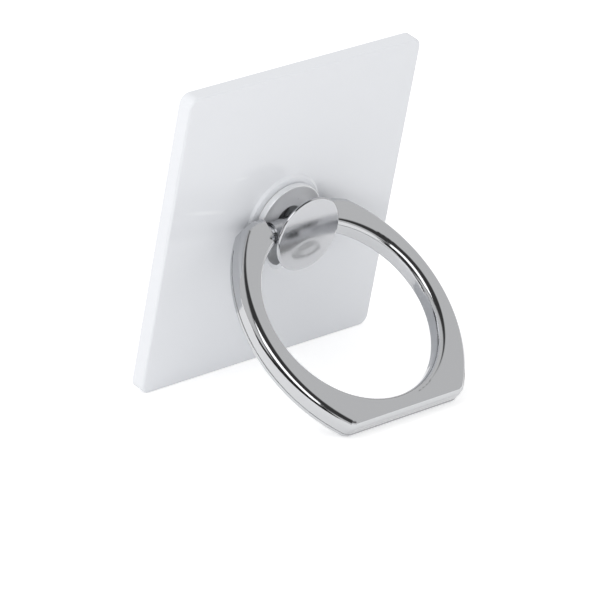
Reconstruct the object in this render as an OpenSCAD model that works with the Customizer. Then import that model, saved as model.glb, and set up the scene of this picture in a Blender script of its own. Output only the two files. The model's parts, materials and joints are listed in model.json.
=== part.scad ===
// Finger ring and stand for the back of a phone, all sizes in millimetres.
// A moulded plate with a shallow flare carries a folded sheet-metal hub that
// swivels on it. A cast ring tilts in the hub and serves as a finger loop or
// as a prop: at rest the part stands on the plate's lower edge and the foot.

/* [Plate] */
// Width of the plate
plate_w = 35; // [30:0.5:46]
// Height of the plate
plate_h = 38; // [34:0.5:50]
// Thickness of the plate away from the flare
plate_t = 1.8; // [1.5:0.1:3]
// Corner radius of the plate
plate_corner_r = 1.2; // [1:0.1:5]
// Rounding of the plate's front edge
plate_edge_r = 0.3; // [0.2:0.05:0.9]
// Radius at which the flare starts to rise
flare_r = 16.8; // [9:0.1:18]
// Height of the flare at the collar
flare_h = 0.1; // [0.1:0.01:0.4]
// Radius of the collar's flat top
collar_r = 5.1; // [5:0.1:6.5]
// Height of the collar's steep flank
collar_h = 0.25; // [0.05:0.01:0.3]
// Width of the collar's steep flank
collar_flank = 0.3; // [0.2:0.05:1]
// Width of the free ring round the washers in the plate's back pocket
pocket_air = 1; // [0.3:0.1:3]

/* [Adhesive pad] */
// Thickness of the adhesive pad
pad_t = 0.8; // [0.3:0.05:1.2]
// Margin of bare plate round the pad
pad_margin = 1; // [0.5:0.1:3]

/* [Swivel] */
// Radius of the neck that turns in the plate
neck_r = 2.4; // [2:0.05:3]
// Wall of the neck
neck_wall = 0.45; // [0.3:0.05:0.6]
// Radius of the neck's clinched lip
lip_r = 3.3; // [2.9:0.05:4]
// Thickness of the clinched lip
lip_t = 0.3; // [0.2:0.05:0.4]
// Thickness of the glide washer under the hub
glide_t = 0.25; // [0.15:0.05:0.5]
// Thickness of the washer under the clinched lip
washer_t = 0.25; // [0.2:0.05:0.4]
// Outer radius of the washer under the lip
washer_r = 4.6; // [4:0.1:5.2]
// Sheet thickness of the spring washer
spring_t = 0.18; // [0.1:0.02:0.25]
// Dish of the spring washer, from its inner to its outer rim
spring_dish = 0.08; // [0.02:0.02:0.2]
// Air between the clinched lip and the back of the plate
lip_air = 0.25; // [0.1:0.05:0.4]

/* [Hub] */
// Radius of the hub's round leaf and of its cap
hub_r = 4.6; // [4:0.05:4.7]
// Sheet thickness of the folded hub
leaf_t = 0.5; // [0.35:0.05:0.7]
// Clear height between the two leaves
leaf_gap = 2.5; // [2.3:0.05:3]
// Height of the rear leaf's rim above its floor
rim_h = 0.25; // [0.1:0.05:0.35]
// Radius at which the rear leaf's floor starts to rise to the rim
floor_r = 3.1; // [2.6:0.1:3.6]
// Width of the strap that joins the leaves
strap_w = 5.6; // [4:0.1:7]
// Distance from the hub's centre to the outside of the fold
fold_reach = 4.75; // [4.2:0.05:5.2]
// Radius of the front leaf under the cap
tongue_r = 3.8; // [3:0.1:4.2]
// Thickness of the cap at its rim
cap_t = 0.38; // [0.25:0.02:0.6]
// Rise of the cap's dome above its rim
cap_dome = 0.22; // [0.05:0.01:0.5]
// Depth of the grooves that seat the sleeve
saddle_d = 0.1; // [0.05:0.01:0.2]
// Length of the friction sleeve
sleeve_l = 8; // [5:0.1:8.4]

/* [Ring] */
// Angle between the ring and the plate at rest
ring_open = 59; // [50:1:75]
// Thickness of the ring, front to back
ring_t = 2.6; // [2:0.1:2.8]
// Radius of the finger hole
hole_r = 11.2; // [9:0.1:12]
// Distance from the hinge to the centre of the finger hole
hole_reach = 11.8; // [9.5:0.1:12.5]
// Distance from the hinge to the bottom of the foot
foot_reach = 25.2; // [24:0.1:30]
// Half the ring's greatest width
ring_half_w = 13.9; // [13:0.1:16]
// Distance from the hinge to the ring's widest place
waist_reach = 12.3; // [11:0.1:14]
// Radius of each outer side of the ring
side_r = 18; // [16:0.1:22]
// Height of the arms above the hinge
arm_top = 1.75; // [1.4:0.05:1.8]
// Distance from the middle to the end face of each arm
arm_in = 4.8; // [4.75:0.05:6]
// Radius of the bar between the arms
bar_r = 0.95; // [0.7:0.05:1]
// Rounding of the ring's outer front edge
ring_front_r = 0.85; // [0.3:0.05:1]
// Rounding of the ring's outer back edge
ring_back_r = 0.35; // [0.3:0.05:1]
// Rounding of the finger hole's two edges
hole_edge_r = 0.85; // [0.2:0.05:0.9]
// Radius of the foot's two corners in plan
foot_corner_r = 2; // [1:0.1:5]
// Radius of the ring's two shoulders in plan
shoulder_r = 5; // [2:0.1:7]

/* [Clearances] */
// Radial running clearance of the neck and the bar
run_gap = 0.05; // [0.02:0.01:0.08]
// Clearance between faces that slide on each other
face_gap = 0.03; // [0.01:0.01:0.05]

/* [Hidden] */
$fn = 96;

// How far a cut runs past the face that it opens
past = 1;

// The flare's profile: steps, exponent of its rise and how deep it is rooted
flare_steps = 14;
flare_power = 2;
flare_root = 0.3;
// Broken edge of the collar's top, out and down
collar_break = [collar_flank / 4, collar_h / 5];

// Heights above the plate's back face, along the plate's front normal
collar_z = plate_t + flare_h + collar_h;
rear_leaf_z = collar_z + glide_t + 2 * face_gap;
leaf_in_z = rear_leaf_z + leaf_t;
hinge_z = leaf_in_z + leaf_gap / 2;
front_leaf_z = leaf_in_z + leaf_gap;
cap_z = front_leaf_z + leaf_t;
washer_z = lip_air + lip_t;
spring_z = washer_z + washer_t + face_gap;
pocket_d = spring_z + spring_t + spring_dish + face_gap;
pocket_r = washer_r + pocket_air;

// The fold's radii, the place of its axis and the notches on its two sides
fold_in_r = leaf_gap / 2;
fold_out_r = fold_in_r + leaf_t;
fold_y = fold_reach - fold_out_r;
notch_w = 0.35;
leaf_edge_r = leaf_t / 4;
// The cove between the rear leaf's floor and the crest of its rim
cove_w = hub_r - leaf_edge_r - floor_r;
cove_r = (cove_w * cove_w + rim_h * rim_h) / (2 * rim_h);

// The glide washer stays hidden under the hub's rim
glide_inset = 0.35;
// The neck's bore, and the flare of its mouth where it was clinched
bore_r = neck_r - neck_wall;
mouth_h = 2 * lip_t;

// The cap's rim, front and back
cap_front_r = cap_t / 3;
cap_back_r = cap_t / 4;
dome_r = (hub_r * hub_r + cap_dome * cap_dome) / (2 * cap_dome);
dome_fn = 720;

// The sleeve takes the bar and lies in the leaves' grooves
sleeve_r = leaf_gap / 2 + saddle_d - face_gap;
// How far the bar is rooted in each arm
bar_root = 0.8;

// The ring's side arcs have their centres across the middle line
side_x = side_r - ring_half_w;

// Rounding centres that touch the ground, in the plate's own height and depth
edge_y = -(plate_h / 2 - plate_edge_r);
edge_z = plate_t - plate_edge_r;
foot_back = [-(foot_reach - ring_back_r), -(ring_t / 2 - ring_back_r)];
foot_front = [-(foot_reach - ring_front_r), ring_t / 2 - ring_front_r];
function ring_to_plate(p) = [
    p[0] * cos(ring_open) + p[1] * sin(ring_open),
    hinge_z - p[0] * sin(ring_open) + p[1] * cos(ring_open)
];
toe = ring_to_plate(foot_back);
toe_front = ring_to_plate(foot_front);

// The plate leans forward until its front lower edge and the foot share the ground
span = norm([edge_y - toe[0], edge_z - toe[1]]);
lean = atan2(toe[0] - edge_y, toe[1] - edge_z) - asin((ring_back_r - plate_edge_r) / span);

// The origin lies on the ground, in the middle of the part's outer box
rise = plate_edge_r - edge_y * cos(lean) + edge_z * sin(lean);
front_reach = toe_front[0] * sin(lean) + toe_front[1] * cos(lean) + ring_front_r;
back_reach = max((plate_h / 2 - pad_margin) * sin(lean) + pad_t * cos(lean),
                 plate_h / 2 * sin(lean));
setback = (front_reach - back_reach) / 2;

// Puts the plate's frame (Y up the plate, Z out of its front) on the ground
module stand() {
    translate([0, setback, rise]) rotate([90 + lean, 0, 0]) children();
}

// Puts the ring's frame (ring hanging towards -Y, front at +Z) in the hub
module in_hub() {
    stand() translate([0, 0, hinge_z]) rotate([-ring_open, 0, 0]) children();
}

// Rectangle with round corners
module round_rect(w, h, r) {
    square([w - 2 * r, h], center = true);
    square([w, h - 2 * r], center = true);
    for (x = [-1, 1], y = [-1, 1])
        translate([x * (w / 2 - r), y * (h / 2 - r)]) circle(r);
}

// The plate's outline inside the rounding of its front edge
module face_outline() {
    round_rect(plate_w - 2 * plate_edge_r, plate_h - 2 * plate_edge_r,
               plate_corner_r - plate_edge_r);
}

// Half section of a disc of radius r, its front and back rims rounded
module disc_section(r, t, front_r, back_r) {
    intersection() {
        square([r, t]);
        union() {
            square([r - back_r, t / 2]);
            translate([0, t / 2]) square([r - front_r, t / 2]);
            translate([0, back_r]) square([r, t - front_r - back_r]);
            translate([r - back_r, back_r]) circle(back_r);
            translate([r - front_r, t - front_r]) circle(front_r);
        }
    }
}

module disc(r, t, front_r, back_r) {
    rotate_extrude() disc_section(r, t, front_r, back_r);
}

module washer(r_out, r_in, t) {
    difference() {
        cylinder(r = r_out, h = t);
        translate([0, 0, -past]) cylinder(r = r_in, h = t + 2 * past);
    }
}

// Plate with round corners and a rounded front edge
module plate_blank() {
    edge_h = plate_t - plate_edge_r;
    straight_w = plate_w - 2 * plate_corner_r;
    straight_h = plate_h - 2 * plate_corner_r;
    linear_extrude(edge_h) round_rect(plate_w, plate_h, plate_corner_r);
    linear_extrude(plate_t) face_outline();
    for (s = [-1, 1]) {
        translate([0, s * (plate_h / 2 - plate_edge_r), edge_h]) rotate([0, 90, 0])
            cylinder(r = plate_edge_r, h = straight_w, center = true);
        translate([s * (plate_w / 2 - plate_edge_r), 0, edge_h]) rotate([90, 0, 0])
            cylinder(r = plate_edge_r, h = straight_h, center = true);
    }
    for (x = [-1, 1], y = [-1, 1])
        translate([x * straight_w / 2, y * straight_h / 2, edge_h]) rotate_extrude()
            translate([plate_corner_r - plate_edge_r, 0]) circle(plate_edge_r);
}

// Point of the flare's profile, from its outer foot (0) to the collar (flare_steps)
function flare_point(i) =
    let (foot_r = collar_r + collar_flank, u = i / flare_steps)
    [foot_r + (flare_r - foot_r) * (1 - u), plate_t + flare_h * pow(u, flare_power)];

// The plate's face rises to the hub like the mouth of a trumpet
module flare() {
    intersection() {
        rotate_extrude() polygon(concat(
            [[0, plate_t - flare_root], [flare_r, plate_t - flare_root]],
            [for (i = [0:flare_steps]) flare_point(i)],
            [[collar_r + collar_break[0], collar_z - collar_break[1]]],
            [[collar_r, collar_z], [0, collar_z]]
        ));
        linear_extrude(collar_z + past) face_outline();
    }
}

module base_plate() {
    color("white") stand() difference() {
        union() {
            plate_blank();
            flare();
        }
        translate([0, 0, -past]) cylinder(r = neck_r + run_gap, h = collar_z + 2 * past);
        translate([0, 0, -past]) cylinder(r = pocket_r, h = pocket_d + past);
    }
}

module adhesive_pad() {
    color("gainsboro") stand() translate([0, 0, -pad_t]) linear_extrude(pad_t)
        round_rect(plate_w - 2 * pad_margin, plate_h - 2 * pad_margin, plate_corner_r);
}

// Thin plastic washer that lets the hub glide on the collar
module glide_washer() {
    color("whitesmoke") stand() translate([0, 0, collar_z + face_gap])
        washer(hub_r - glide_inset, neck_r + run_gap, glide_t);
}

// Shallow cone that draws the hub down on the plate
module spring_washer() {
    r_in = neck_r + run_gap;
    color("silver") stand() translate([0, 0, spring_z]) rotate_extrude() polygon([
        [r_in, 0], [washer_r, spring_dish], [washer_r, spring_dish + spring_t], [r_in, spring_t]
    ]);
}

module back_washer() {
    color("silver") stand() translate([0, 0, washer_z])
        washer(washer_r, neck_r + run_gap, washer_t);
}

// Round dished leaf cut away below for the strap, with a relief notch on each side
module rear_leaf() {
    difference() {
        rotate_extrude() difference() {
            disc_section(hub_r, leaf_t + rim_h, leaf_edge_r, leaf_edge_r);
            translate([0, leaf_t]) square([floor_r, leaf_t]);
            translate([floor_r, leaf_t + cove_r]) circle(cove_r);
        }
        translate([-strap_w / 2 - notch_w, -hub_r - past, -past])
            cube([strap_w + 2 * notch_w, hub_r + past - fold_y, leaf_t + 2 * past]);
    }
}

// Strap folded round from the rear leaf to the front one
module fold() {
    reach = fold_out_r + past;
    translate([0, -fold_y, hinge_z]) rotate([0, 90, 0]) difference() {
        cylinder(r = fold_out_r, h = strap_w, center = true);
        cylinder(r = fold_in_r, h = strap_w + 2 * past, center = true);
        translate([-reach, 0, -strap_w]) cube([2 * reach, reach, 2 * strap_w]);
    }
}

// Round tongue and strap under the cap
module front_leaf() {
    translate([-strap_w / 2, -fold_y, 0]) cube([strap_w, fold_y, leaf_t]);
    intersection() {
        cylinder(r = tongue_r, h = leaf_t);
        translate([-hub_r, -fold_y, -past])
            cube([2 * hub_r, fold_y + hub_r, leaf_t + 2 * past]);
    }
}

// Neck drawn down from the rear leaf and clinched behind the washer
module neck() {
    translate([0, 0, lip_air]) cylinder(r = neck_r, h = rear_leaf_z + leaf_t / 2 - lip_air);
    translate([0, 0, lip_air]) cylinder(r = lip_r, h = lip_t);
}

module neck_bore() {
    translate([0, 0, lip_air - past]) cylinder(r = bore_r, h = leaf_in_z - lip_air + 2 * past);
    translate([0, 0, lip_air - face_gap]) cylinder(r1 = neck_r, r2 = bore_r, h = mouth_h);
}

module hub_clamp() {
    color("gainsboro") stand() difference() {
        union() {
            translate([0, 0, rear_leaf_z]) rear_leaf();
            neck();
            fold();
            translate([0, 0, front_leaf_z]) front_leaf();
        }
        neck_bore();
        translate([0, 0, hinge_z]) rotate([0, 90, 0])
            cylinder(r = sleeve_r + face_gap, h = 3 * hub_r, center = true);
    }
}

// Domed disc that covers the front leaf
module hub_cap() {
    color("gainsboro") stand() translate([0, 0, cap_z]) rotate_extrude() union() {
        disc_section(hub_r, cap_t, cap_front_r, cap_back_r);
        intersection() {
            translate([0, cap_t / 2]) square([hub_r - cap_front_r, cap_t + cap_dome]);
            translate([0, cap_t + cap_dome - dome_r]) circle(dome_r, $fn = dome_fn);
        }
    }
}

module friction_sleeve() {
    color("dimgray") stand() translate([0, 0, hinge_z]) rotate([0, 90, 0])
        difference() {
            cylinder(r = sleeve_r, h = sleeve_l, center = true);
            cylinder(r = bar_r + run_gap, h = sleeve_l + 2 * past, center = true);
        }
}

// Place and radius of the large disc that takes off the corner where a side arc
// meets the straight line at y, as deep as a rounding of radius r would
function corner_disc(y, r, up) =
    let (dy = abs(y + waist_reach), cx = sqrt(side_r * side_r - dy * dy),
         turn = atan2(cx, dy) / 2, big_r = (cx - side_x) / sin(turn))
    [y - up * big_r * cos(turn), big_r - r * (1 / cos(turn) - 1)];

module rim_disc(r) {
    disc(r, ring_t, ring_front_r, ring_back_r);
}

// Slab between the straight foot and the straight top of the arms
module foot_slab() {
    height = arm_top + foot_reach;
    translate([0, (arm_top - foot_reach) / 2, 0]) rotate([90, 0, 90])
        linear_extrude(3 * ring_half_w, center = true)
            for (s = [0, 1]) mirror([s, 0])
                disc_section(height / 2, ring_t, ring_front_r, ring_back_r);
}

// Two round sides meet the slab, and two large discs take off the four corners
module ring_outline() {
    foot_disc = corner_disc(-foot_reach, foot_corner_r, -1);
    shoulder_disc = corner_disc(arm_top, shoulder_r, 1);
    intersection() {
        translate([side_x, -waist_reach, 0]) rim_disc(side_r);
        translate([-side_x, -waist_reach, 0]) rim_disc(side_r);
        foot_slab();
        translate([0, foot_disc[0], 0]) rim_disc(foot_disc[1]);
        translate([0, shoulder_disc[0], 0]) rim_disc(shoulder_disc[1]);
    }
}

// Section that rounds the finger hole's edge at the face z = 0, the metal above it
module hole_edge() {
    difference() {
        translate([0, -past]) square([hole_r + hole_edge_r, hole_edge_r + past]);
        translate([hole_r + hole_edge_r, hole_edge_r]) circle(hole_edge_r);
    }
}

// Finger hole with both edges rounded outwards
module finger_hole() {
    translate([0, -hole_reach, 0]) rotate_extrude() {
        translate([0, -past]) square([hole_r, ring_t + 2 * past]);
        hole_edge();
        translate([0, ring_t]) mirror([0, 1]) hole_edge();
    }
}

module finger_ring() {
    color("silver") in_hub() {
        translate([0, 0, -ring_t / 2]) difference() {
            ring_outline();
            finger_hole();
            translate([-arm_in, -hole_reach, -past])
                cube([2 * arm_in, hole_reach + arm_top + past, ring_t + 2 * past]);
        }
        rotate([0, 90, 0]) cylinder(r = bar_r, h = 2 * (arm_in + bar_root), center = true);
    }
}

base_plate();
adhesive_pad();
glide_washer();
spring_washer();
back_washer();
hub_clamp();
hub_cap();
friction_sleeve();
finger_ring();
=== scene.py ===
# Finger ring holder for the back of a phone: a white moulded plate, a folded
# and plated hub that swivels on it, and a plated ring that tilts in the hub.
import json
import math

import bmesh
import bpy
from mathutils import Euler, Matrix, Vector

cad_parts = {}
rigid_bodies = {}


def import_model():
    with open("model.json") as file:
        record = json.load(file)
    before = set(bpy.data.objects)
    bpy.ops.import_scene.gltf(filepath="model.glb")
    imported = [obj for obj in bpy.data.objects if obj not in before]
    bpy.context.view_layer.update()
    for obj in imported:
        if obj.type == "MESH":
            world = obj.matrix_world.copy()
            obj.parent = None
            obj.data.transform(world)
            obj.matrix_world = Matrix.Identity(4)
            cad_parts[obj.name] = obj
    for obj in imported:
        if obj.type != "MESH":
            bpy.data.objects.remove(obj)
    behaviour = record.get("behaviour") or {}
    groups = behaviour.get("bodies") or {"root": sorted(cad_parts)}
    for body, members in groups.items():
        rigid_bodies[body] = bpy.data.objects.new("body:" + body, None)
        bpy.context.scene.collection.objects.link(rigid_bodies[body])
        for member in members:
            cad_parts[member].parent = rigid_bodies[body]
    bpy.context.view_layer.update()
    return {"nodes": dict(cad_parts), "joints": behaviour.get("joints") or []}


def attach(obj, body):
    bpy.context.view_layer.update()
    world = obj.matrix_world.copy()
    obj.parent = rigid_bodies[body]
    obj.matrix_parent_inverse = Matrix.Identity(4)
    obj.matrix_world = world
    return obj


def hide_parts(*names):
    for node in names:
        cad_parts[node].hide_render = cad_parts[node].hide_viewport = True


# Starts from an empty scene
for leftover in list(bpy.data.objects):
    bpy.data.objects.remove(leftover, do_unlink=True)

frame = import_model()
nodes = frame["nodes"]
mm = 0.001                     # metres
print("frame loaded:", len(nodes), "nodes")


# sRGB hex to the linear colour that the shaders take
def linearColour(hexText):
    shown = [int(hexText[i:i + 2], 16) / 255 for i in (0, 2, 4)]
    linear = [c / 12.92 if c <= 0.04045 else ((c + 0.055) / 1.055) ** 2.4 for c in shown]
    return (*linear, 1.0)


# Adds one node with its settings, its input values and its links
def addNode(tree, kind, inputs=None, links=None, **settings):
    node = tree.nodes.new(kind)
    for name, value in settings.items():
        setattr(node, name, value)
    for name, value in (inputs or {}).items():
        node.inputs[name].default_value = value
    for name, source in (links or {}).items():
        tree.links.new(source, node.inputs[name])
    return node


# Material without any nodes; returns material and tree
def emptyMaterial(name):
    material = bpy.data.materials.new(name)
    material.use_nodes = True
    material.node_tree.nodes.clear()
    return material, material.node_tree


# Material with a principled shader; returns material, tree, shader
def newFinish(name, shaderInputs):
    material, tree = emptyMaterial(name)
    shader = addNode(tree, "ShaderNodeBsdfPrincipled", shaderInputs)
    addNode(tree, "ShaderNodeOutputMaterial", links={"Surface": shader.outputs["BSDF"]})
    return material, tree, shader


# Middles of the two joints, and the directions of the plate and of the ring
swivelJoint = next(j for j in frame["joints"] if j["name"] == "swivel_turn")
tiltJoint = next(j for j in frame["joints"] if j["name"] == "ring_tilt")
hubCentre = Vector(swivelJoint["pos_m"])
plateFront = Vector(swivelJoint["axis"]).normalized()
plateUp = Vector((0, plateFront.z, -plateFront.y)).normalized()
hingeCentre = Vector(tiltJoint["pos_m"])
ringOpen = math.radians(59)    # between ring and plate at rest
ringDown = (-plateUp * math.cos(ringOpen) + plateFront * math.sin(ringOpen)).normalized()
ringFront = (plateUp * math.sin(ringOpen) + plateFront * math.cos(ringOpen)).normalized()


# Coordinates from the middle of the hub: X right, Y up the plate, Z out of it
def hubCoords(tree):
    turn = plateFront.to_track_quat("Z", "Y").to_matrix().inverted()
    coords = addNode(tree, "ShaderNodeTexCoord")
    place = addNode(tree, "ShaderNodeMapping",
                    {"Rotation": turn.to_euler(), "Location": -(turn @ hubCentre)},
                    {"Vector": coords.outputs["Object"]}, vector_type="POINT")
    return place.outputs["Vector"]


plateFinish = {
    "colour": "F0F2F6",        # white pellet with a breath of blue
    "refraction": 1.54,
    "smoothest": 0.135,        # roughness between the patches
    "roughest": 0.21,          # roughness in the patches
    "hazeSpot": 4.0,           # mm, size of the patches of softer gloss
    "hazeFrom": 0.3,           # part of the noise that the patches use
    "hazeTo": 0.7,
    "peel": 0.9,               # mm, wavelength of the moulded skin
    "peelDepth": 0.0006,       # mm
    "peelStrength": 0.5,
    # Paler colour painted in as highlight streaks on the flare left of the hub
    "streakHighlightColour": "FAFCFF",
    # Painted highlight streaks, each: right of and above the hub in mm, turn in degrees, half
    # length and half width in mm, share of the painted highlight colour
    "paintedHighlightStreaks": [
        (-12.1, 3.5, -12, 3.7, 0.36, 1.0),
        (-7.5, 6.75, -4, 1.4, 0.3, 0.5),
    ],
}


# Painted highlight streaks: a pattern that is 1 in the middle of each streak and fades to its ends
def paintedStreakPattern(tree, lines):
    plate = hubCoords(tree)
    pattern = None
    for right, up, turn, reach, width, share in lines:
        own = addNode(tree, "ShaderNodeMapping",
                      {"Location": (right * mm, up * mm, 0), "Rotation": (0, 0, math.radians(turn)),
                       "Scale": (reach * mm, width * mm, 1)},
                      {"Vector": plate}, vector_type="TEXTURE")
        soft = addNode(tree, "ShaderNodeTexGradient", links={"Vector": own.outputs["Vector"]},
                       gradient_type="SPHERICAL")
        line = addNode(tree, "ShaderNodeMath", {1: share}, {0: soft.outputs["Fac"]},
                       operation="MULTIPLY").outputs[0]
        pattern = line if pattern is None else addNode(
            tree, "ShaderNodeMath", links={0: pattern, 1: line}, operation="MAXIMUM").outputs[0]
    return pattern


# Moulded glossy ABS: white with soft reflections and a little flow in its skin, and
# two faint pale highlight streaks painted into its colour on the left of the hub
def mouldedAbs():
    v = plateFinish
    material, tree, shader = newFinish("moulded_gloss_abs", {"IOR": v["refraction"]})
    coords = addNode(tree, "ShaderNodeTexCoord").outputs["Object"]
    haze = addNode(tree, "ShaderNodeTexNoise", {"Scale": 1 / (v["hazeSpot"] * mm), "Detail": 3.0},
                   {"Vector": coords})
    rough = addNode(tree, "ShaderNodeMapRange",
                    {"From Min": v["hazeFrom"], "From Max": v["hazeTo"],
                     "To Min": v["smoothest"], "To Max": v["roughest"]},
                    {"Value": haze.outputs["Fac"]})
    peel = addNode(tree, "ShaderNodeTexNoise", {"Scale": 1 / (v["peel"] * mm), "Detail": 2.0},
                   {"Vector": coords})
    bump = addNode(tree, "ShaderNodeBump",
                   {"Strength": v["peelStrength"], "Distance": v["peelDepth"] * mm},
                   {"Height": peel.outputs["Fac"]})
    # Painted highlight: the streak pattern lightens the base colour
    tint = addNode(tree, "ShaderNodeValToRGB", links={"Fac": paintedStreakPattern(tree, v["paintedHighlightStreaks"])})
    tint.color_ramp.elements[0].color = linearColour(v["colour"])
    tint.color_ramp.elements[1].color = linearColour(v["streakHighlightColour"])
    tree.links.new(tint.outputs["Color"], shader.inputs["Base Color"])
    tree.links.new(rough.outputs["Result"], shader.inputs["Roughness"])
    tree.links.new(bump.outputs["Normal"], shader.inputs["Normal"])
    return material


hubFinish = {
    "colour": "BFC0C3",
    "smoothest": 0.054,
    "roughest": 0.144,
    "dent": 3.2,               # mm, wavelength of the pressed sheet's waves
    "dentDepth": 0.004,        # mm
    "dentStrength": 0.6,
    "wipe": 0.12,              # mm, size of the finest polishing marks
}


# Nickel chrome on pressed sheet: mirror bright, its reflections slightly wavy
def platedSheet():
    v = hubFinish
    material, tree, shader = newFinish("bright_chrome_on_pressed_sheet",
                                       {"Metallic": 1.0, "Base Color": linearColour(v["colour"])})
    coords = addNode(tree, "ShaderNodeTexCoord").outputs["Object"]
    wipe = addNode(tree, "ShaderNodeTexNoise", {"Scale": 1 / (v["wipe"] * mm), "Detail": 2.0},
                   {"Vector": coords})
    rough = addNode(tree, "ShaderNodeMapRange",
                    {"To Min": v["smoothest"], "To Max": v["roughest"]},
                    {"Value": wipe.outputs["Fac"]})
    dents = addNode(tree, "ShaderNodeTexNoise", {"Scale": 1 / (v["dent"] * mm), "Detail": 1.0},
                    {"Vector": coords})
    bump = addNode(tree, "ShaderNodeBump",
                   {"Strength": v["dentStrength"], "Distance": v["dentDepth"] * mm},
                   {"Height": dents.outputs["Fac"]})
    tree.links.new(rough.outputs["Result"], shader.inputs["Roughness"])
    tree.links.new(bump.outputs["Normal"], shader.inputs["Normal"])
    return material


clampFinish = {
    "colour": "F2F3F5",
    "metal": 0.32,             # the rest is scattered by the milky skin
    "smoothest": 0.24,
    "roughest": 0.375,
    "tumble": 0.3,             # mm, size of the marks left by the tumbling stones
    "tumbleDepth": 0.0005,     # mm
    "tumbleStrength": 0.5,
}


# Nickel on tumbled sheet: paler and milkier than the cap, its reflections soft
def tumbledSheet():
    v = clampFinish
    material, tree, shader = newFinish("satin_nickel_on_tumbled_sheet",
                                       {"Metallic": v["metal"],
                                        "Base Color": linearColour(v["colour"])})
    coords = addNode(tree, "ShaderNodeTexCoord").outputs["Object"]
    marks = addNode(tree, "ShaderNodeTexNoise", {"Scale": 1 / (v["tumble"] * mm), "Detail": 3.0},
                    {"Vector": coords})
    rough = addNode(tree, "ShaderNodeMapRange",
                    {"To Min": v["smoothest"], "To Max": v["roughest"]},
                    {"Value": marks.outputs["Fac"]})
    bump = addNode(tree, "ShaderNodeBump",
                   {"Strength": v["tumbleStrength"], "Distance": v["tumbleDepth"] * mm},
                   {"Height": marks.outputs["Fac"]})
    tree.links.new(rough.outputs["Result"], shader.inputs["Roughness"])
    tree.links.new(bump.outputs["Normal"], shader.inputs["Normal"])
    return material


ringFinish = {
    "colour": "C4C5C7",
    "smoothest": 0.056,
    "roughest": 0.12,
    "cast": 2.4,               # mm, wavelength of the polished casting's waves
    "castDepth": 0.0015,       # mm
    "castStrength": 0.5,
    "grain": 0.25,             # mm, polishing grain, drawn coarser than it is
}


# Plated die casting: bright, with the soft ripple of a hand-polished casting
def platedCasting():
    v = ringFinish
    material, tree, shader = newFinish("bright_chrome_on_die_casting",
                                       {"Metallic": 1.0, "Base Color": linearColour(v["colour"])})
    coords = addNode(tree, "ShaderNodeTexCoord").outputs["Object"]
    grain = addNode(tree, "ShaderNodeTexNoise", {"Scale": 1 / (v["grain"] * mm), "Detail": 3.0},
                    {"Vector": coords})
    rough = addNode(tree, "ShaderNodeMapRange",
                    {"To Min": v["smoothest"], "To Max": v["roughest"]},
                    {"Value": grain.outputs["Fac"]})
    ripple = addNode(tree, "ShaderNodeTexNoise", {"Scale": 1 / (v["cast"] * mm), "Detail": 1.0},
                     {"Vector": coords})
    bump = addNode(tree, "ShaderNodeBump",
                   {"Strength": v["castStrength"], "Distance": v["castDepth"] * mm},
                   {"Height": ripple.outputs["Fac"]})
    tree.links.new(rough.outputs["Result"], shader.inputs["Roughness"])
    tree.links.new(bump.outputs["Normal"], shader.inputs["Normal"])
    return material


steelFinish = {
    "colour": "A9AAAC",
    "smoothest": 0.24,         # roughness between the rings
    "roughest": 0.42,          # roughness on the rings
    "turning": 0.8796,         # mm, spacing of the rings left by the stamping die
    "turningDepth": 0.002,     # mm
    "turningStrength": 0.6,
    "wander": 0.6,             # how far the rings stray from true circles
}


# Stamped spring steel: grey and satin, with fine rings round its hole
def stampedSteel():
    v = steelFinish
    material, tree, shader = newFinish("stamped_spring_steel",
                                       {"Metallic": 1.0, "Base Color": linearColour(v["colour"])})
    unitSpacing = math.tau / 20    # between the rings of a wave texture at scale 1
    rings = addNode(tree, "ShaderNodeTexWave",
                    {"Scale": unitSpacing / (v["turning"] * mm), "Distortion": v["wander"]},
                    {"Vector": hubCoords(tree)}, wave_type="RINGS", rings_direction="Z")
    rough = addNode(tree, "ShaderNodeMapRange",
                    {"To Min": v["smoothest"], "To Max": v["roughest"]},
                    {"Value": rings.outputs["Fac"]})
    bump = addNode(tree, "ShaderNodeBump",
                   {"Strength": v["turningStrength"], "Distance": v["turningDepth"] * mm},
                   {"Height": rings.outputs["Fac"]})
    tree.links.new(rough.outputs["Result"], shader.inputs["Roughness"])
    tree.links.new(bump.outputs["Normal"], shader.inputs["Normal"])
    return material


sleeveFinish = {
    "colour": "B9BABD",
    "roughness": 0.2,
    "line": 0.16,              # mm, spacing of the drawing lines
    "lineDepth": 0.0015,       # mm
    "lineStrength": 0.6,
    "stretch": 20,             # how much longer a line is than it is wide
}


# Drawn steel tube: bright along its length, with fine drawing lines
def drawnTube():
    v = sleeveFinish
    material, tree, shader = newFinish("drawn_steel_tube",
                                       {"Metallic": 1.0, "Roughness": v["roughness"],
                                        "Base Color": linearColour(v["colour"])})
    coords = addNode(tree, "ShaderNodeTexCoord").outputs["Object"]
    along = addNode(tree, "ShaderNodeMapping", {"Scale": (1 / v["stretch"], 1, 1)},
                    {"Vector": coords})
    lines = addNode(tree, "ShaderNodeTexNoise", {"Scale": 1 / (v["line"] * mm), "Detail": 2.0},
                    {"Vector": along.outputs["Vector"]})
    bump = addNode(tree, "ShaderNodeBump",
                   {"Strength": v["lineStrength"], "Distance": v["lineDepth"] * mm},
                   {"Height": lines.outputs["Fac"]})
    tree.links.new(bump.outputs["Normal"], shader.inputs["Normal"])
    return material


padFinish = {
    "colour": "D9DBDD",
    "dark": "C4C6C9",          # between the cells
    "roughness": 0.62,
    "cell": 0.22,              # mm, size of a foam cell
    "cellDepth": 0.012,        # mm
    "cellStrength": 0.5,
}


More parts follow.
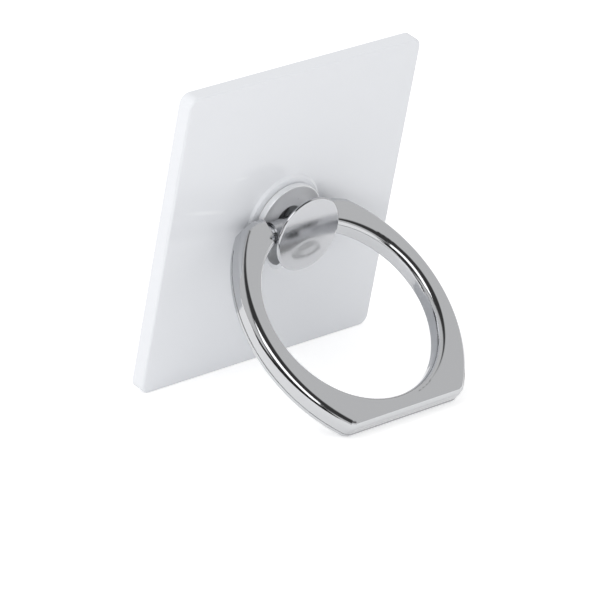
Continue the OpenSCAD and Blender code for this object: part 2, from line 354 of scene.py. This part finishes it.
# Acrylic foam tape: pale grey, matt, with fine closed cells
def foamTape():
    v = padFinish
    material, tree, shader = newFinish("acrylic_foam_tape", {"Roughness": v["roughness"]})
    coords = addNode(tree, "ShaderNodeTexCoord").outputs["Object"]
    cells = addNode(tree, "ShaderNodeTexVoronoi", {"Scale": 1 / (v["cell"] * mm)},
                    {"Vector": coords})
    tint = addNode(tree, "ShaderNodeValToRGB", links={"Fac": cells.outputs["Distance"]})
    tint.color_ramp.elements[0].color = linearColour(v["colour"])
    tint.color_ramp.elements[1].color = linearColour(v["dark"])
    bump = addNode(tree, "ShaderNodeBump",
                   {"Strength": v["cellStrength"], "Distance": v["cellDepth"] * mm},
                   {"Height": cells.outputs["Distance"]})
    tree.links.new(tint.outputs["Color"], shader.inputs["Base Color"])
    tree.links.new(bump.outputs["Normal"], shader.inputs["Normal"])
    return material


glideFinish = {
    "colour": "EDEDEA",
    "refraction": 1.48,
    "roughness": 0.38,
    "grit": 0.08,              # mm, spacing of the calendered grain
    "gritDepth": 0.001,        # mm
    "gritStrength": 0.4,
}


# Punched acetal sheet: milky white and waxy
def punchedAcetal():
    v = glideFinish
    material, tree, shader = newFinish("punched_acetal_sheet",
                                       {"IOR": v["refraction"], "Roughness": v["roughness"],
                                        "Base Color": linearColour(v["colour"])})
    coords = addNode(tree, "ShaderNodeTexCoord").outputs["Object"]
    grit = addNode(tree, "ShaderNodeTexNoise", {"Scale": 1 / (v["grit"] * mm)},
                   {"Vector": coords})
    bump = addNode(tree, "ShaderNodeBump",
                   {"Strength": v["gritStrength"], "Distance": v["gritDepth"] * mm},
                   {"Height": grit.outputs["Fac"]})
    tree.links.new(bump.outputs["Normal"], shader.inputs["Normal"])
    return material


# The cap and the clamp share the record's hub slot, but the clamp is satin
finishes = {
    "plate": mouldedAbs(),
    "hub": platedSheet(),
    "clamp": tumbledSheet(),
    "ring": platedCasting(),
    "steel": stampedSteel(),
    "sleeve": drawnTube(),
    "pad": foamTape(),
    "glide": punchedAcetal(),
}
nodeFinish = {
    "base_plate": "plate", "adhesive_pad": "pad", "glide_washer": "glide",
    "spring_washer": "steel", "back_washer": "steel", "hub_clamp": "clamp",
    "hub_cap": "hub", "friction_sleeve": "sleeve", "finger_ring": "ring",
}
for nodeName, finishName in nodeFinish.items():
    nodes[nodeName].material_slots[0].material = finishes[finishName]
print("finishes set:", len(finishes))


# Object made of a bmesh, which is freed, with one material
def meshObject(name, mesh, material):
    data = bpy.data.meshes.new(name)
    mesh.to_mesh(data)
    mesh.free()
    data.materials.append(material)
    made = bpy.data.objects.new(name, data)
    bpy.context.scene.collection.objects.link(made)
    return made


# Piece of the part, with its slot, its body and the node that it replaces
def finishPiece(name, mesh, v):
    made = meshObject(name, mesh, finishes[v["slot"]])
    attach(made, v["body"])
    if "node" in v:
        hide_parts(v["node"])


capShape = {
    "base": 5.96,              # mm in front of the plate's back
    "radius": 4.6,             # mm
    "rim": 0.38,               # mm, thickness
    "rimRound": 0.12,          # mm
    "dome": 0.08,              # mm, rise of the middle above the rim
    "rings": 22,               # steps from the middle to the rim
    "turns": 160,              # steps round
    "hollowAt": (0.2, -1.8),   # mm, right and up from the middle
    "hollowSize": (1.5, 0.9),  # mm
    "hollow": 0.03,            # mm, depth
    "body": "swivel",
    "node": "hub_cap",
    "slot": "hub",
}


# Pressed cap: its crown is spun, and then sinks a little where the tool hit it
def makeCap():
    v = capShape
    mesh = bmesh.new()
    crest = v["radius"] - v["rimRound"]
    steps = [crest * i / v["rings"] for i in range(v["rings"] + 1)]
    profile = [(r, v["rim"] + v["dome"] * (1 - (r / crest) ** 2)) for r in steps]
    profile += [(v["radius"], v["rim"] - v["rimRound"]), (v["radius"], v["rimRound"]),
                (crest, 0.0), (0.0, 0.0)]
    points = [mesh.verts.new((r * mm, 0, z * mm)) for r, z in profile]
    edges = [mesh.edges.new(pair) for pair in zip(points, points[1:])]
    bmesh.ops.spin(mesh, geom=points + edges, cent=(0, 0, 0), axis=(0, 0, 1),
                   angle=math.tau, steps=v["turns"], use_merge=True)
    bmesh.ops.remove_doubles(mesh, verts=mesh.verts, dist=1e-7)
    bmesh.ops.recalc_face_normals(mesh, faces=mesh.faces)
    for vert in mesh.verts:
        if vert.co.z > v["rim"] * mm:
            across = (vert.co.x / mm - v["hollowAt"][0]) / v["hollowSize"][0]
            up = (vert.co.y / mm - v["hollowAt"][1]) / v["hollowSize"][1]
            vert.co.z -= v["hollow"] * mm * math.exp(-across ** 2 - up ** 2)
    right = plateUp.cross(plateFront)
    place = Matrix((right, plateUp, plateFront)).transposed().to_4x4()
    place.translation = hubCentre + plateFront * (v["base"] * mm)
    bmesh.ops.transform(mesh, matrix=place, verts=mesh.verts)
    for face in mesh.faces:
        face.smooth = True
    finishPiece("pressed_cap", mesh, v)


makeCap()
print("cap pressed")


partingLine = {
    "depth": -0.62,            # mm from the ring's middle plane, towards its back
    "width": 0.1,              # mm
    "proud": 0.04,             # mm
    "holeCentre": 11.8,        # mm down the ring from the hinge
    "start": 0.5,              # mm below the hinge, where the bead begins
    "leastOutward": 0.15,      # share of a face's normal that points from the hole
    "body": "ring",
    "slot": "ring",
}


# Thin polished bead where the two halves of the die met, round the outer wall
def makePartingLine():
    v = partingLine
    mesh = bmesh.new()
    mesh.from_mesh(nodes["finger_ring"].data)
    bmesh.ops.remove_doubles(mesh, verts=mesh.verts, dist=1e-6)
    seam = hingeCentre + ringFront * (v["depth"] * mm)
    for side in (-1, 1):
        every = mesh.verts[:] + mesh.edges[:] + mesh.faces[:]
        bmesh.ops.bisect_plane(mesh, geom=every, dist=1e-7,
                               plane_co=seam + ringFront * (side * v["width"] / 2 * mm),
                               plane_no=ringFront * side, clear_outer=True)
    holeCentre = hingeCentre + ringDown * (v["holeCentre"] * mm)
    inner = []
    for face in mesh.faces:
        middle = face.calc_center_median()
        away = middle - holeCentre
        away -= ringFront * away.dot(ringFront)
        below = (middle - hingeCentre).dot(ringDown)
        outward = face.normal.dot(away.normalized())
        if outward < v["leastOutward"] or below < v["start"] * mm:
            inner.append(face)
    bmesh.ops.delete(mesh, geom=inner, context="FACES")
    bmesh.ops.solidify(mesh, geom=mesh.faces[:], thickness=-v["proud"] * mm)
    bmesh.ops.remove_doubles(mesh, verts=mesh.verts, dist=1e-8)
    bmesh.ops.recalc_face_normals(mesh, faces=mesh.faces)
    finishPiece("parting_line", mesh, v)


makePartingLine()
print("parting line made")


studio = {
    "floorSize": 6.0,          # m
    "floorColour": "F4F4F4",
    "floorGlow": 0.44,
    "worldLight": 0.72,        # strength of the light that falls on the object
    "aim": 0.018,              # m, height of the point that lights and cards face
}


# Place and turn at an angle from the front (+ to the right) and a height angle
def pointAt(azimuth, elevation, distance):
    a, e = math.radians(azimuth), math.radians(elevation)
    away = Vector((math.sin(a) * math.cos(e), -math.cos(a) * math.cos(e), math.sin(e)))
    place = Vector((0, 0, studio["aim"])) + away * distance
    return Matrix.Translation(place) @ away.to_track_quat("Z", "Y").to_matrix().to_4x4()


# Value that is 1 for what the camera, a mirror or a clear piece looks at
def seenDirectly(tree):
    path = addNode(tree, "ShaderNodeLightPath").outputs
    bright = addNode(tree, "ShaderNodeMath", operation="MAXIMUM",
                     links={0: path["Is Camera Ray"], 1: path["Is Glossy Ray"]})
    clear = addNode(tree, "ShaderNodeMath", operation="MAXIMUM",
                    links={0: bright.outputs[0], 1: path["Is Transmission Ray"]})
    return clear.outputs[0]


# White paper: takes the object's shadow, and glows a little where it is seen
def whitePaper():
    material, tree = emptyMaterial("white_paper_sweep")
    glow = addNode(tree, "ShaderNodeMapRange", {"To Max": studio["floorGlow"]},
                   {"Value": seenDirectly(tree)})
    paper = addNode(tree, "ShaderNodeBsdfDiffuse", {"Color": linearColour(studio["floorColour"])})
    light = addNode(tree, "ShaderNodeEmission", links={"Strength": glow.outputs["Result"]})
    both = addNode(tree, "ShaderNodeAddShader", links={0: paper.outputs[0], 1: light.outputs[0]})
    addNode(tree, "ShaderNodeOutputMaterial", links={"Surface": both.outputs[0]})
    return material


# Material that only glows, with one brightness or with a pattern of it
def glowing(name, brightness=1.0, pattern=None):
    material, tree = emptyMaterial(name)
    light = addNode(tree, "ShaderNodeEmission", {"Color": (1, 1, 1, 1), "Strength": brightness})
    if pattern:
        tree.links.new(pattern(tree), light.inputs["Strength"])
    addNode(tree, "ShaderNodeOutputMaterial", links={"Surface": light.outputs[0]})
    return material


# Stands in the reflections only
def mirrorOnly(made):
    made.visible_camera = False
    made.visible_diffuse = False
    made.visible_shadow = False
    made.visible_transmission = False


# White sweep that the object stands on
def makeFloor():
    mesh = bmesh.new()
    bmesh.ops.create_grid(mesh, x_segments=1, y_segments=1, size=studio["floorSize"] / 2)
    meshObject("floor", mesh, whitePaper())


room = {
    "radius": 2.6,             # m
    "fineness": 4,             # subdivisions of the sphere
    "lift": 0.001,             # m, where its lower half is cut off
    "dark": 0.06,
    "grey": 0.79,
    # Where the wall turns from dark to grey: axis, and the direction's share of
    # it at the dark and at the grey end
    "right": ("X", 0.42, 0.56),
    "behind": ("Y", -0.2, -0.02),
    "low": ("Z", 0.34, 0.26),
    "front": ("X", -0.5, -0.35),
}


# The room as polished metal sees it: pale grey on the right, behind and low in
# front, dark in front on the left, where the photographer stands
def roomTone(tree):
    place = addNode(tree, "ShaderNodeTexCoord").outputs["Object"]
    direction = addNode(tree, "ShaderNodeVectorMath", links={"Vector": place},
                        operation="NORMALIZE")
    split = addNode(tree, "ShaderNodeSeparateXYZ", links={"Vector": direction.outputs["Vector"]})
    pale = {}
    for part in ("right", "behind", "low", "front"):
        axis, darkEnd, greyEnd = room[part]
        step = addNode(tree, "ShaderNodeMapRange", {"From Min": darkEnd, "From Max": greyEnd},
                       {"Value": split.outputs[axis]}, interpolation_type="SMOOTHSTEP")
        pale[part] = step.outputs["Result"]
    lowFront = addNode(tree, "ShaderNodeMath", operation="MULTIPLY",
                       links={0: pale["low"], 1: pale["front"]})
    sides = addNode(tree, "ShaderNodeMath", operation="MAXIMUM",
                    links={0: pale["right"], 1: pale["behind"]})
    every = addNode(tree, "ShaderNodeMath", operation="MAXIMUM",
                    links={0: sides.outputs[0], 1: lowFront.outputs[0]})
    tone = addNode(tree, "ShaderNodeMapRange", {"To Min": room["dark"], "To Max": room["grey"]},
                   {"Value": every.outputs[0]})
    return tone.outputs["Result"]


# Upper half of a sphere round the object
def makeShell():
    mesh = bmesh.new()
    bmesh.ops.create_icosphere(mesh, subdivisions=room["fineness"], radius=room["radius"])
    every = mesh.verts[:] + mesh.edges[:] + mesh.faces[:]
    bmesh.ops.bisect_plane(mesh, geom=every, plane_co=(0, 0, room["lift"]), plane_no=(0, 0, -1),
                           clear_outer=True)
    mirrorOnly(meshObject("room_shell", mesh, glowing("room_wall", pattern=roomTone)))


flag = {
    "from": -112,              # degrees, round from the front
    "to": -30,
    "radius": 0.05,            # m
    "height": 0.014,           # m
    "lift": 0.0005,            # m above the floor
    "steps": 32,
    "tone": 0.03,
}


# Low black flag that stands round the front left, close to the object
def makeFlag():
    v = flag
    mesh = bmesh.new()
    start = math.radians(v["from"])
    foot = mesh.verts.new((math.sin(start) * v["radius"], -math.cos(start) * v["radius"],
                           v["lift"]))
    top = mesh.verts.new(foot.co + Vector((0, 0, v["height"])))
    edge = mesh.edges.new((foot, top))
    bmesh.ops.spin(mesh, geom=[foot, top, edge], cent=(0, 0, 0), axis=(0, 0, 1),
                   angle=math.radians(v["to"] - v["from"]), steps=v["steps"], use_merge=False)
    mirrorOnly(meshObject("black_flag", mesh, glowing("black_flag", v["tone"])))


# Light of the sky: what is seen of it is white, what it lights is a little less
def makeWorld():
    world = bpy.data.worlds.new("studio")
    bpy.context.scene.world = world
    world.use_nodes = True
    tree = world.node_tree
    tree.nodes.clear()
    strength = addNode(tree, "ShaderNodeMapRange", {"To Min": studio["worldLight"], "To Max": 1.0},
                       {"Value": seenDirectly(tree)})
    background = addNode(tree, "ShaderNodeBackground", {"Color": (1, 1, 1, 1)},
                         {"Strength": strength.outputs["Result"]})
    addNode(tree, "ShaderNodeOutputWorld", links={"Surface": background.outputs[0]})


lamps = [
    # name, azimuth, elevation, distance, width, height (m), power
    ("left_light", -110, 52, 1.3, 0.8, 0.8, 3.3),
    ("front_light", -50, 8, 0.4, 0.2, 0.15, 0.3),
]


# Area lamp that lights the object but isn't seen in its polish
def addLamp(name, azimuth, elevation, distance, width, height, power):
    lamp = bpy.data.lights.new(name, "AREA")
    lamp.shape = "RECTANGLE"
    lamp.size, lamp.size_y = width, height
    lamp.energy = power
    holder = bpy.data.objects.new(name, lamp)
    holder.matrix_world = pointAt(azimuth, elevation, distance)
    holder.visible_glossy = False
    bpy.context.scene.collection.objects.link(holder)


cards = [
    # name, azimuth, elevation, distance, width, height (m), roll, brightness
    ("long_softbox", -45, 36, 1.4, 1.2, 0.7, -33, 2.2),
]


# Bright card that the metal reflects
def addCard(name, azimuth, elevation, distance, width, height, roll, brightness):
    mesh = bmesh.new()
    bmesh.ops.create_grid(mesh, x_segments=1, y_segments=1, size=0.5)
    bmesh.ops.scale(mesh, vec=(width, height, 1), verts=mesh.verts)
    place = pointAt(azimuth, elevation, distance) @ Matrix.Rotation(math.radians(roll), 4, "Z")
    bmesh.ops.transform(mesh, matrix=place, verts=mesh.verts)
    mirrorOnly(meshObject(name, mesh, glowing(name, brightness)))


strips = [
    # name, left, right, front, back, height above the floor (mm), brightness
    ("near_strip", 10, 26, -11.8, -9.4, 0.3, 0.34),
    ("far_strip", 13, 18.5, -8.3, -7.5, 0.3, 0.42),
]


# Dull strip of cloth on the floor beside the ring, for the cap to reflect
def addStrip(name, left, right, front, back, lift, tone):
    mesh = bmesh.new()
    bmesh.ops.create_grid(mesh, x_segments=1, y_segments=1, size=0.5 * mm)
    bmesh.ops.scale(mesh, vec=(right - left, back - front, 1), verts=mesh.verts)
    middle = Vector(((left + right) / 2, (front + back) / 2, lift)) * mm
    bmesh.ops.translate(mesh, vec=middle, verts=mesh.verts)
    mirrorOnly(meshObject(name, mesh, glowing(name, tone)))


makeFloor()
makeShell()
makeFlag()
makeWorld()
for lamp in lamps:
    addLamp(*lamp)
for card in cards:
    addCard(*card)
for strip in strips:
    addStrip(*strip)
print("studio lit: lamps, cards and strips", len(lamps), len(cards), len(strips))


view = {
    "place": (-0.36690, -0.38822, 0.21643),     # m
    "turn": (68.9142, -1.0239, -42.6745),       # degrees
    "lens": 304.86,            # mm
    "sensor": 36,              # mm
    "nearest": 0.01,           # m, nothing closer than this is drawn
}
cameraData = bpy.data.cameras.new("camera")
cameraData.lens = view["lens"]
cameraData.sensor_width = view["sensor"]
cameraData.clip_start = view["nearest"]
camera = bpy.data.objects.new("camera", cameraData)
camera.location = view["place"]
camera.rotation_euler = Euler([math.radians(d) for d in view["turn"]])
bpy.context.scene.collection.objects.link(camera)
bpy.context.scene.camera = camera
bpy.context.scene.view_settings.view_transform = "Standard"
print("camera set")
